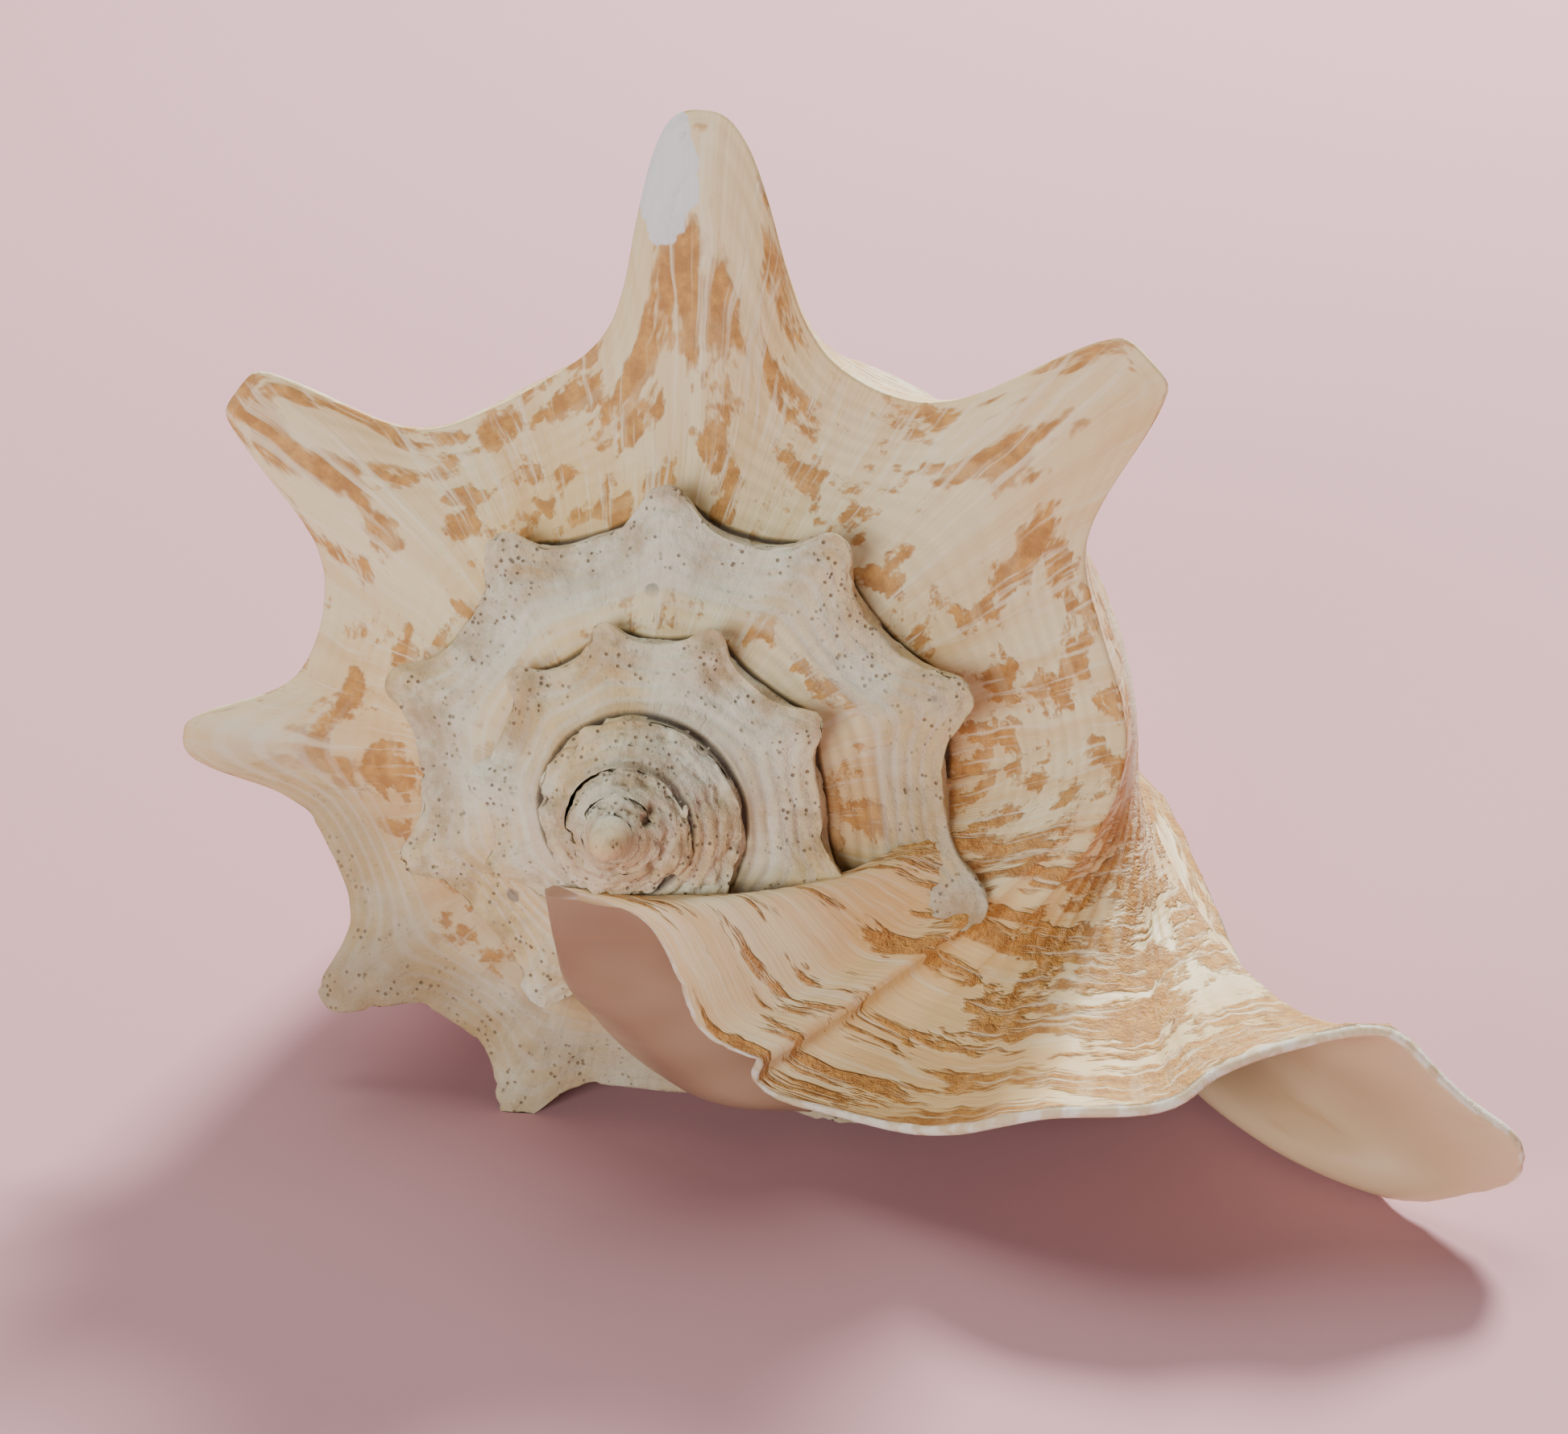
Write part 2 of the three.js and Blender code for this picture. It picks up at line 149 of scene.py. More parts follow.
# growth angle, height, half width in degrees, lean to the apex, sideways bend, length of the worn-off tip
SPINES = [
    (-216, 14, 12, 0, 0, 0),
    (-159, 10.3, 4.9, 0, 0, 0),
    (-128, 13.5, 5.1, 1, 0, 0),
    (-90, 19, 5.6, 2, 0, 0),
    (-49.5, 28.5, 6.4, 2, -2, 1.5),
    (4.5, 36, 7.5, 3, -5, 0),
    (46, 31, 7.1, 3, 0, 1.5),
]
SPINE_FOOT = 1.15
BLUNTING = 2
# growth angle of each knob, from the newest to the one nearest the apex
KNOBS = [
    -253, -291, -326, -358, -393, -430, -470, -515, -562, -610, -659, -698, -732, -765, -804, -837,
    -875, -913, -951,
]
NEWER_KNOBS, OLDER_KNOBS, KNOBS_WITH_TIPS = KNOBS[:8], KNOBS[8:], KNOBS[:16]
KNOB_HEIGHT = 0.19
KNOB_WIDTH = 6.2
KNOB_FOOT = 1.45
KNOB_LEAN = 0.12
SUTURE_DEPTH = 0.035


def section(angle, station):
    """Radius from the axis and drop below the apex, with no spines."""
    shoulder, drop = shoulder_radius(angle), shoulder_drop(angle)
    inner = SUTURE_RADIUS * shoulder_radius(angle - 360)
    depth_share = SUTURE_DEPTH - 0.16 * smooth_step(-840, -1000, angle)
    inner_drop = shoulder_drop(angle - 360) + depth_share * shoulder_radius(angle - 360)
    t, v = np.clip(station, 0, 1), np.clip(station - 1, 0, 1)
    on_ramp = station <= 1
    wall_radius = shoulder * curve(WALL_STATIONS, WALL_SHARES, v)
    radius = np.where(on_ramp, inner + (shoulder - inner) * t, wall_radius)
    dish = RAMP_DISH * shoulder * np.sin(np.pi * t)
    depth = np.where(on_ramp, inner_drop + (drop - inner_drop) * t + dish, drop + length_below(angle) * v)
    return radius, depth


def along_section(angle, station):
    ramp = shoulder_radius(angle) - SUTURE_RADIUS * shoulder_radius(angle - 360)
    return (station - 1) * np.where(station < 1, ramp, length_below(angle))


def bell(angle, along, centre, half_width, stretch):
    radius = shoulder_radius(centre)
    width = math.radians(half_width) * radius
    across = np.radians(angle - centre) * radius / width
    lift = 1 / (1 + np.hypot(across, along / (width * stretch)) ** 3)
    return np.maximum(0, (lift - 0.02) / 0.98)


def knob_height(centre):
    """The knobs nearest the apex are worn away."""
    return KNOB_HEIGHT * shoulder_radius(centre) * smooth_step(-990, -860, centre)


def coil_point(angle, radius, drop):
    turn = np.radians(90 - angle)
    return np.stack([radius * np.cos(turn), radius * np.sin(turn), drop], -1)


def whorl(angle, station, spines=True):
    angle, station = np.broadcast_arrays(np.asarray(angle, float), np.asarray(station, float))
    radius, drop = section(angle, station)
    sideways = 0.0
    if spines:
        along = along_section(angle, station)
        for centre, height, half_width, lean, bend, worn in SPINES:
            lift = bell(angle, along, centre, half_width, SPINE_FOOT)
            top = height - worn
            rise = height * lift
            if worn:
                blunt = top - BLUNTING + BLUNTING * np.tanh((rise - top + BLUNTING) / BLUNTING)
                rise = np.where(rise > top - BLUNTING, blunt, rise)
            radius = radius + rise
            drop = drop - lean * lift
            sideways = sideways + bend * lift
        for centre in KNOBS:
            height = knob_height(centre)
            lift = bell(angle, along, centre, KNOB_WIDTH, KNOB_FOOT)
            radius = radius + height * lift
            drop = drop - KNOB_LEAN * height * lift
    return coil_point(angle + np.degrees(sideways / radius), radius, drop)


print("tallest spine tip from the axis, mm:", np.hypot(*whorl(1.5, 1.0)[:2]).round(1))

# %% [markdown]
# ## Setting down
# The coil is worked out round its own axis, then tipped and moved so that the shell lies on its opening.
# %% Between the coil and the floor
TO_FLOOR = np.array([[1, 0, 0],
                     [0, math.sin(AXIS_TILT), math.cos(AXIS_TILT)],
                     [0, math.cos(AXIS_TILT), -math.sin(AXIS_TILT)]])


def to_floor(points):
    return points @ TO_FLOOR.T + APEX


def to_coil(points):
    return (points - np.array([0, 0, APEX[2]])) @ TO_FLOOR


print("apex height above the floor, mm:", APEX[2])

# %% [markdown]
# ## The flared lip
# A grown conch stops coiling and spreads its last edge into a wide lip. Its edge runs through points, from
# the short canal over the spire, along the wavy back margin, round the tip and forward to the front canal.
# A Hermite patch then carries the wall to that edge: it leaves the last whorl along its growth and reaches
# the edge in the direction the edge flares. The patch is one formula, so it stays smooth at any fineness.
# %% Lip edge and lip patch
# station, point from the foot of the apex, direction of growth
LIP_EDGE = [
    (0, (-9, 13, 48), (-1, 0, 0)), (0.15, (3, 9, 47), (-0.9, -0.3, -0.3)),
    (0.35, (9, 10, 37), (-0.8, -0.5, -0.2)), (0.55, (12, 12, 27), (-0.7, -0.6, -0.2)),
    (0.75, (20, 12, 23), (-0.6, -0.6, -0.3)), (1, (29, 14, 15), (-0.3, -0.8, -0.1)),
    (1.07, (46, 8, 17), (0, -0.9, 0.2)), (1.14, (63, 3, 25), (0.1, -0.8, 0.4)),
    (1.2, (79, 3, 28), (0.2, -0.8, 0.5)), (1.25, (86, 7, 32), (0.3, -0.7, 0.5)),
    (1.3, (95, 12, 34), (0.4, -0.6, 0.5)), (1.36, (109, 15, 36), (0.6, -0.5, 0.5)),
    (1.42, (118, 15, 28), (0.8, -0.4, 0.3)), (1.48, (129, 15, 19), (0.95, -0.2, 0.1)),
    (1.54, (126, 20, 9), (0.95, -0.1, -0.1)), (1.6, (112, 26, 2), (0.9, 0, -0.2)),
    (1.68, (98, 50, 0.6), (0.9, 0, -0.3)), (1.76, (87, 86, 0.6), (0.9, 0.05, -0.3)),
    (1.84, (77, 121, 0.6), (0.85, 0.15, -0.4)), (1.91, (65, 154, 0.6), (0.75, 0.35, -0.5)),
    (1.96, (46, 182, 0.6), (0.6, 0.5, -0.6)), (2, (20, 203, 0.6), (0.5, 0.3, -0.8)),
]
FIRST_ROW = 0.12
LIP_SWEEP = 6
LIP_SWELL = 4.0
LIP_REACH = 0.9


def swept_on(station):
    """Extra growth angle by which the lip starts later on the ramp, so that it meets the spire low down."""
    return LIP_SWEEP * smooth_step(0.95, 0.2, station)


def lip(t, station):
    t, station = np.broadcast_arrays(np.asarray(t, float), np.asarray(station, float))
    begin = LIP_ANGLE + swept_on(station)
    start = whorl(begin, station)
    pull = whorl(begin + 1, station, False) - whorl(begin - 1, station, False)
    pull /= np.linalg.norm(pull, axis=-1, keepdims=True)
    places = [row[0] for row in LIP_EDGE]
    end = np.where(station < 1, (station - FIRST_ROW) / (1 - FIRST_ROW), station)
    edge = to_coil(curve(places, [row[1] for row in LIP_EDGE], end))
    edge_pull = curve(places, [row[2] for row in LIP_EDGE], end) @ TO_FLOOR
    edge_pull /= np.linalg.norm(edge_pull, axis=-1, keepdims=True)
    reach = LIP_REACH * np.linalg.norm(edge - start, axis=-1, keepdims=True)
    surface = hermite(t[..., None], start, pull * reach, edge, edge_pull * reach)
    surface[..., 2] -= 4 * t * (1 - t) * LIP_SWELL * smooth_step(1.15, 0.95, station)
    return surface


print("lip edge points:", len(LIP_EDGE))

# %% [markdown]
# ## The sheet as columns and rows
# Columns follow the growth, rows follow the section. The columns stand closer together across the spines,
# where the sheet is stretched, and the rows are closest at the shoulder for the same reason. The last
# columns cross the lip, turn over its rim and go back inside, so lip and lining are one unbroken surface.
# %% Columns and rows
def spaced(low, high, count, centres=(), width=6.0, extra=1.5):
    """Values from low to high, packed closer round each centre."""
    fine = np.linspace(low, high, 20001)
    density = np.ones_like(fine)
    for centre in centres:
        density += extra * np.exp(-((fine - centre) / width) ** 2)
    total = np.concatenate([[0], np.cumsum((density[1:] + density[:-1]) / 2)])
    return np.interp(np.linspace(0, total[-1], count), total, fine)


FINE = 1.0
ramp_rows = np.linspace(FIRST_ROW, 1, int(44 * FINE), endpoint=False)
wall_rows = 1 + spaced(0, 1, int(132 * FINE), [0.02], 0.08, 1.6)
rows = np.concatenate([ramp_rows, wall_rows])
body_columns = spaced(-268, LIP_ANGLE, int(430 * FINE), [spine[0] for spine in SPINES], 8.0, 1.4)
lip_columns = np.linspace(0, 1, int(96 * FINE))[1:]
print("rows", len(rows), "body columns", len(body_columns), "lip columns", len(lip_columns))

# %% [markdown]
# ## Fine relief of the outside
# The grown surface is never plain. Growth leaves low folds across the whorls, spiral cords run along them,
# and years on a beach pit and chalk the oldest whorls and the spine tips. Each of these is a height in
# millimetres that pushes the sheet along its normal, so it shows in the outline and not only in the shading.
# %% Relief heights
def sheet_normals(points):
    across = np.gradient(points, axis=0)
    down = np.gradient(points, axis=1)
    normal = np.cross(down, across)
    return normal / np.maximum(np.linalg.norm(normal, axis=-1, keepdims=True), 1e-9)


def worn_share(angle, station):
    """How chalky and pitted the surface is: the apex most, then the spire and the low old spines."""
    old = smooth_step(-230, -520, angle)
    apex = smooth_step(-800, -1250, angle)
    early = smooth_step(-60, -130, angle)
    early = early * smooth_step(0.35, 0.85, station) * smooth_step(1.35, 1.12, station)
    along = along_section(angle, station)
    knob_tips = sum(bell(angle, along, knob, 3.2, 1.2) for knob in KNOBS_WITH_TIPS)
    return np.clip(0.24 * old + 0.66 * apex + 0.45 * early + 0.55 * knob_tips, 0, 1)


def suture_gap(angle, station, points):
    """Distance in millimetres from the ramp to the outside of the turn before, which is 0 in the suture."""
    radius, drop = np.hypot(points[..., 0], points[..., 1]), points[..., 2]
    older = angle - 360
    older_station = np.clip(1 + (drop - shoulder_drop(older)) / length_below(older), 1, 2)
    older_radius = section(older, older_station)[0]
    along = along_section(older, older_station)
    for centre in KNOBS:
        older_radius = older_radius + knob_height(centre) * bell(older, along, centre, KNOB_WIDTH, KNOB_FOOT)
    return np.where(station < 1, radius - older_radius, 20.0)


CORD_SPACING = 4.8
STRIA_SPACING = 1.9


def relief(points, angle, station, growth_mm, along_mm, gap):
    worn = worn_share(angle, station)
    clear = smooth_step(0.2, 4, gap)
    folds = np.sin(growth_mm / 7.0 + 1.5 * noise(points, 40, 3)) * 0.16 + noise(points, 24, 4, 2) * 0.5
    stripes = np.stack([growth_mm, along_mm * 0.07, along_mm * 0], -1)
    fine_lines = noise(stripes, 1.8, 5, 2) * 0.11
    on_wall = smooth_step(3, 14, along_mm)
    cords = np.cos(along_mm / CORD_SPACING * 2 * np.pi + 1.2 * noise(points, 30, 6))
    cords = np.clip(cords, -0.2, 1) * (0.30 * on_wall + 0.06)
    striae = np.cos(along_mm / STRIA_SPACING * 2 * np.pi + 2.0 * noise(points, 12, 10))
    striae = striae * 0.12 * smooth_step(2, -4, along_mm)
    pits = np.maximum(0, noise(points, 1.7, 7, 2) - 0.1) * -2.2 * worn
    apex = smooth_step(-850, -1150, angle)
    lumps = noise(points, 4.5, 8, 3) * (0.5 * worn + 1.0 * apex)
    lumps = lumps + np.abs(noise(points, 1.3, 9, 2)) * -0.8 * apex
    groove = -0.7 * np.exp(-(gap / 0.45) ** 2) * (1 - apex)
    return (folds + cords * (1 - worn) + lumps) * clear + fine_lines + striae + pits + groove


print("spiral cords stand", CORD_SPACING, "mm apart")

# %% [markdown]
# ## Winding the outer sheet
# The last turn and a half keep every row down to the canal, because the opening shows the wall of the turn
# before. Older turns show only their ramp and their knobs, so they keep only those rows.
# %% Outer sheet
turn_before = spaced(-510, -268, int(190 * FINE), NEWER_KNOBS, 8.0, 0.6)[:-1]
outer_columns = np.concatenate([turn_before, body_columns])
spire_columns = spaced(FIRST_ANGLE, -510, int(520 * FINE), OLDER_KNOBS, 8.0, 0.6)[:-1]
spire_rows = rows[rows < 1.17]


LIP_LENGTH = 85
LENGTH_PER_RADIUS = 13.09
NO_SUTURE = 20.0


def growth_length(angle):
    """Length of the spiral in millimetres; one radius of growth takes 2 pi / 0.48 radii of winding."""
    return LENGTH_PER_RADIUS * shoulder_radius(angle)


def outer_sheet(columns, stations):
    angle, station = np.meshgrid(columns, stations, indexing="ij")
    angle = angle + swept_on(station) * smooth_step(LIP_ANGLE - 60, LIP_ANGLE, angle)
    points = whorl(angle, station)
    gap = suture_gap(angle, station, points)
    return angle, station, points, growth_length(angle), along_section(angle, station), gap


wall = outer_sheet(outer_columns, rows)
spire = outer_sheet(spire_columns, spire_rows)
lip_t, lip_station = np.meshgrid(lip_columns, rows, indexing="ij")
chips = noise(np.stack([lip_station * 60, lip_station * 0, lip_station * 0], -1), 1.0, 12, 3)
lip_points = lip(lip_t * (1 - 0.012 * np.maximum(chips, -0.2) * lip_t ** 8), lip_station)
lip_growth = growth_length(LIP_ANGLE) + LIP_LENGTH * lip_t
lip_along = along_section(LIP_ANGLE, lip_station)
print("outer sheet points", wall[2].shape[:2], "spire", spire[2].shape[:2], "lip", lip_points.shape[:2])

# %% [markdown]
# ## The lining
# Inside the lip and the last whorl the shell is smooth. The lining follows the outer sheet at the thickness
# of the wall, without its spines. Deep inside it closes on the turn before, where the opening grows dark.
# %% Rim and lining
WALL_THICKNESS = 3.2
RIM_THICKNESS = 1.7
PILLAR_RADIUS = 8.5
STATION_STEP = 0.002


def lining_of_whorl(columns, stations):
    angle, station = np.meshgrid(columns, stations, indexing="ij")
    radius, drop = section(angle, station)
    # The section ends at station 2, so the last row has no step: its points come out as no number.
    next_radius, next_drop = section(angle, station + STATION_STEP)
    run, fall = next_radius - radius, next_drop - drop
    length = np.hypot(run, fall)
    inner = radius - fall / length * WALL_THICKNESS
    depth = drop + run / length * WALL_THICKNESS
    older = shoulder_radius(angle - 360) * curve(
        WALL_STATIONS, WALL_SHARES, (depth - shoulder_drop(angle - 360)) / length_below(angle - 360))
    inner = np.maximum(inner, np.minimum(PILLAR_RADIUS, radius - 1.2))
    closing = smooth_step(HOLLOW_ANGLE + 45, HOLLOW_ANGLE, angle)
    return coil_point(angle, inner * (1 - closing) + np.minimum(older - 0.6, inner) * closing, depth)


full_lip = np.concatenate([whorl(LIP_ANGLE + swept_on(rows), rows)[None], lip_points])
lip_normals = sheet_normals(full_lip)
thickness = np.linspace(WALL_THICKNESS, RIM_THICKNESS, len(full_lip))[:, None, None]
lip_lining = (full_lip - lip_normals * thickness)[::-1]
edge, edge_normal = full_lip[-1], lip_normals[-1]
edge_growth = full_lip[-1] - full_lip[-2]
edge_growth /= np.linalg.norm(edge_growth, axis=-1, keepdims=True)
rim = []
for turn in np.radians([30, 60, 90, 120, 150]):
    swing = edge_normal * math.cos(turn) + edge_growth * math.sin(turn)
    rim.append(edge - edge_normal * RIM_THICKNESS / 2 + swing * RIM_THICKNESS / 2)
rim = np.array(rim)
lining_columns = np.linspace(LIP_ANGLE, HOLLOW_ANGLE, int(84 * FINE))[1:]
whorl_lining = lining_of_whorl(lining_columns, rows)
print("lining points", lip_lining.shape[:2], whorl_lining.shape[:2])

# %% [markdown]
# ## The callus
# Beside the opening the animal glazes over the turn before with a thick, smooth callus. Its crest shows left
# of the lip, from the top canal down to the belly. It is a soft sheet through seven rows of points, and its
# left and inner edges dive into the whorl below.
# %% Callus
# each row runs across the callus: buried edge, crest, middle, inside, buried end
CALLUS = [
    [(-13, 21, 44.5), (-11.6, 14.3, 45.8), (-5, 13, 46.4), (5, 13.5, 45.4), (14, 22, 43)],
    [(-11, 22, 37), (-10.6, 14.8, 37.4), (-2, 13.8, 38.8), (8, 14.8, 39.4), (20, 24, 39)],
    [(-10.5, 23.5, 29), (-9.9, 17.6, 29), (-1.5, 15, 30), (12, 17, 32), (24, 27, 34)],
    [(-7.8, 29, 19.5), (-7.2, 24.2, 19.4), (1.5, 18, 21.5), (14, 19, 25), (30, 29, 28)],
    [(-0.6, 30, 12.2), (-0.2, 25, 11.6), (9, 19, 15), (19, 21, 19), (31, 31, 23)],
    [(10.5, 30, 8.6), (10.5, 24.5, 6.6), (17, 20.5, 9.5), (25, 23, 14), (35, 32, 18)],
    [(28, 31, 9.5), (25, 26, 5.8), (27, 24.5, 8), (31, 27, 11.5), (36, 33, 15)],
]
CALLUS_DEPTH = 5
CALLUS_GROWTH = 400.0
callus_down = np.linspace(0, 1, int(90 * FINE))
callus_over = np.linspace(0, 1, int(70 * FINE))
row_places, point_places = np.linspace(0, 1, len(CALLUS)), np.linspace(0, 1, len(CALLUS[0]))
flat_rows = np.array(CALLUS, float).reshape(len(CALLUS), -1)
across_rows = curve(row_places, flat_rows, callus_down).reshape(-1, len(CALLUS[0]), 3)
callus = np.stack([curve(point_places, row, callus_over) for row in across_rows])
callus = to_coil(callus + np.array([0, 0.35, 0]) * noise(callus, 9, 11, 2)[..., None])
spoke = np.hypot(callus[..., 0], callus[..., 1])
inward = callus[..., :2] * (1 - CALLUS_DEPTH / spoke)[..., None]
callus_back = np.concatenate([inward, callus[..., 2:] + 4], -1)
print("callus points", callus.shape[:2])

# %% [markdown]
# ## Joining the sheets
# All the sheets share their rows, so they join column to column: spire, last whorl, lip, rim, lining. Each
# point also carries what the surface material needs to know: how far it has grown, where it is on the
# section, how deep it lies in the suture, how worn it is, and whether it is lining or outside.
# %% Points, faces and what each point knows
class Sheet:
    points, faces, facts, count = [], [], [], 0


def add_sheet(points, *facts):
    columns, row_count = points.shape[:2]
    Sheet.points.append(points.reshape(-1, 3))
    facts = [np.broadcast_to(value, (columns, row_count)).reshape(-1) for value in facts]
    Sheet.facts.append(np.stack(facts, -1))
    index = Sheet.count + np.arange(columns * row_count).reshape(columns, row_count)
    Sheet.count += columns * row_count
    return index


def add_faces(index):
    a, b, c, d = index[:-1, :-1], index[:-1, 1:], index[1:, 1:], index[1:, :-1]
    Sheet.faces.append(np.stack([a, d, c, b], -1).reshape(-1, 4))


def raised(points, angle, station, growth_mm, along_mm, gap):
    lift = relief(points, angle, station, growth_mm, along_mm, gap)
    return points + sheet_normals(points) * lift[..., None]


lip_gap = np.full(lip_t.shape, NO_SUTURE)
lip_facts = (LIP_ANGLE + 60 * lip_t, lip_station, lip_points, lip_growth, lip_along, lip_gap)
outside = [np.concatenate([of_wall, of_lip]) for of_wall, of_lip in zip(wall, lip_facts)]
wall_index = add_sheet(raised(outside[2], *outside[:2], *outside[3:]), *outside[3:5],
                       worn_share(*outside[:2]), 0.0, outside[5])
spire_index = add_sheet(raised(spire[2], *spire[:2], *spire[3:]), *spire[3:5],
                        worn_share(*spire[:2]), 0.0, spire[5])

rim_index = add_sheet(rim, lip_growth[-1] + 1, lip_along[-1], 0.0, 0.5, NO_SUTURE)
lining_growth = np.concatenate([np.linspace(1, 0, len(full_lip)) * LIP_LENGTH + growth_length(LIP_ANGLE),
                                growth_length(lining_columns)])[:, None]
all_lining = np.concatenate([lip_lining, whorl_lining])
lining_index = add_sheet(all_lining, lining_growth, lip_along[-1], 0.0, 1.0, NO_SUTURE)

callus_index = add_sheet(callus, CALLUS_GROWTH, callus_down[:, None] * 60, 0.0, 1.0, NO_SUTURE)
callus_back_index = add_sheet(callus_back, CALLUS_GROWTH, callus_down[:, None] * 60, 0.0, 1.0, NO_SUTURE)
add_faces(np.concatenate([callus_index, callus_back_index[::-1], callus_index[:1]]))

add_faces(np.concatenate([wall_index, rim_index, lining_index]))
add_faces(np.concatenate([spire_index, wall_index[:1, :len(spire_rows)]]))
front = np.concatenate([wall_index[-len(full_lip):, -1:], lining_index[:len(full_lip), -1:][::-1]], axis=1)
add_faces(front[:, ::-1])
print("points", Sheet.count, "faces", sum(len(f) for f in Sheet.faces))

# %% [markdown]
# ## The two ends of the axis
# A small blunt cap closes the apex, and a rounded pillar end closes the middle of the front canal.
# %% Apex cap and pillar end
def turned(outline, count=28):
    turn = np.linspace(0, 2 * np.pi, count)
    outline = np.array(outline, float)
    return np.stack([outline[:, :1] * np.cos(turn), outline[:, :1] * np.sin(turn),
                     np.broadcast_to(outline[:, 1:], (len(outline), count))], -1)


# radius and depth below the apex
APEX_CAP = [(0.02, 0.2), (1.0, 0.5), (2.0, 1.5), (2.7, 3.0), (3.2, 6)]
PILLAR_END = [(5.5, CANAL_END - 40), (5.2, CANAL_END - 14), (4.4, CANAL_END - 7), (2.4, CANAL_END - 4),
              (0.02, CANAL_END - 3)]
for outline, chalky in ((APEX_CAP, 0.9), (PILLAR_END, 0.0)):
    add_faces(add_sheet(turned(outline), 30.0, 0.0, chalky, 0.0, NO_SUTURE)[:, ::-1])
print("points with both ends", Sheet.count)

# %% [markdown]
# ## The shell object
# One mesh holds it all. Its point facts become attributes, which the material reads by name.
# %% Make the mesh
def make_mesh(name, points, faces, facts, names):
    mesh = bpy.data.meshes.new(name)
    mesh.vertices.add(len(points))
    mesh.vertices.foreach_set("co", (points / 1000).astype(np.float32).ravel())
    mesh.loops.add(faces.size)
    mesh.loops.foreach_set("vertex_index", faces.astype(np.int32).ravel())
    mesh.polygons.add(len(faces))
    mesh.polygons.foreach_set("loop_start", np.arange(0, faces.size, 4, dtype=np.int32))
    mesh.polygons.foreach_set("use_smooth", np.ones(len(faces), dtype=bool))
    for column, fact in enumerate(names):
        layer = mesh.attributes.new(fact, "FLOAT", "POINT")
        layer.data.foreach_set("value", facts[:, column].astype(np.float32))
    mesh.update(calc_edges=True)
    mesh.validate()
    piece = bpy.data.objects.new(name, mesh)
    bpy.context.scene.collection.objects.link(piece)
    return piece


FACTS = ["growth_mm", "along_mm", "worn", "lining", "suture_gap"]
all_points = to_floor(np.concatenate(Sheet.points))
all_points[:, 2] = np.maximum(all_points[:, 2], 0.02)
shell = make_mesh("grown_shell", all_points, np.concatenate(Sheet.faces), np.concatenate(Sheet.facts), FACTS)
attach(shell, "root")
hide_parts("conch_shell")
print("shell from", all_points.min(0).round(1), "to", all_points.max(0).round(1))

# %% [markdown]
# ## Colour and node helpers
# Colours are written as sRGB hex, and one function turns them to linear light. Another adds a node.
# %% Helpers
def colour(hex_code):
    parts = [int(hex_code[i:i + 2], 16) / 255 for i in (1, 3, 5)]
    return tuple(c / 12.92 if c <= 0.04045 else ((c + 0.055) / 1.055) ** 2.4 for c in parts) + (1.0,)


def node(tree, kind, links=(), **settings):
    """Add a node; settings are its properties, and links pair an input with a value or an output."""
    made = tree.nodes.new(kind)
    for name, value in settings.items():
        setattr(made, name, value)
    for socket, source in dict(links).items():
        if isinstance(source, bpy.types.NodeSocket):
            tree.links.new(source, made.inputs[socket])
        else:
            made.inputs[socket].default_value = source
    return made


print("cream in linear light", [round(part, 3) for part in colour("#f6e6b6")])

# %% [markdown]
# ## Shell surface
# The real material is aragonite, laid down in crossed layers by the animal and then dried and bleached by
# sun and salt. The outside is matt and chalky, cream with ochre patches where the old horny skin still holds,
# the oldest turns are pitted by sea worms and sponges, and the lining keeps its satin, peach-pink glaze.
# The material reads the facts on the points, so each pattern follows the growth of the shell.
# %% Read the point facts
material = bpy.data.materials.new("sun_bleached_aragonite")
material.use_nodes = True
tree = material.node_tree
shader = tree.nodes["Principled BSDF"]


def fact(name):
    return node(tree, "ShaderNodeAttribute", attribute_name=name).outputs["Fac"]


def calc(operation, first, second=0.0):
    return node(tree, "ShaderNodeMath", {0: first, 1: second}, operation=operation).outputs[0]


def ramp(value, low, high, to_low=0.0, to_high=1.0):
    links = {0: value, 1: low, 2: high, 3: to_low, 4: to_high}
    return node(tree, "ShaderNodeMapRange", links, interpolation_type="SMOOTHSTEP").outputs[0]


def vector(x, y, z=0.0):
    return node(tree, "ShaderNodeCombineXYZ", {0: x, 1: y, 2: z}).outputs[0]


def grain(place, size, detail=2.0, roughness=0.5):
    """Noise from 0 to 1 whose bumps are size millimetres across."""
    links = {"Vector": place, "Scale": 1 / size, "Detail": detail, "Roughness": roughness}
    return node(tree, "ShaderNodeTexNoise", links).outputs["Fac"]


def mixed(share, first, second):
    return node(tree, "ShaderNodeMix", {0: share, 2: first, 3: second}, data_type="FLOAT").outputs[0]


def blend(share, under, over):
    made = node(tree, "ShaderNodeMix", {0: share}, data_type="RGBA")
    for socket, value in ((6, under), (7, over)):
        if isinstance(value, bpy.types.NodeSocket):
            tree.links.new(value, made.inputs[socket])
        else:
            made.inputs[socket].default_value = colour(value)
    return made.outputs[2]


growth_at, along_at, worn_at, lining_at, gap_at = [fact(name) for name in FACTS]
object_place = node(tree, "ShaderNodeTexCoord").outputs["Object"]
to_mm = {0: object_place, "Scale": 1000.0}
place_mm = node(tree, "ShaderNodeVectorMath", to_mm, operation="SCALE").outputs[0]
print("nodes so far", len(tree.nodes))

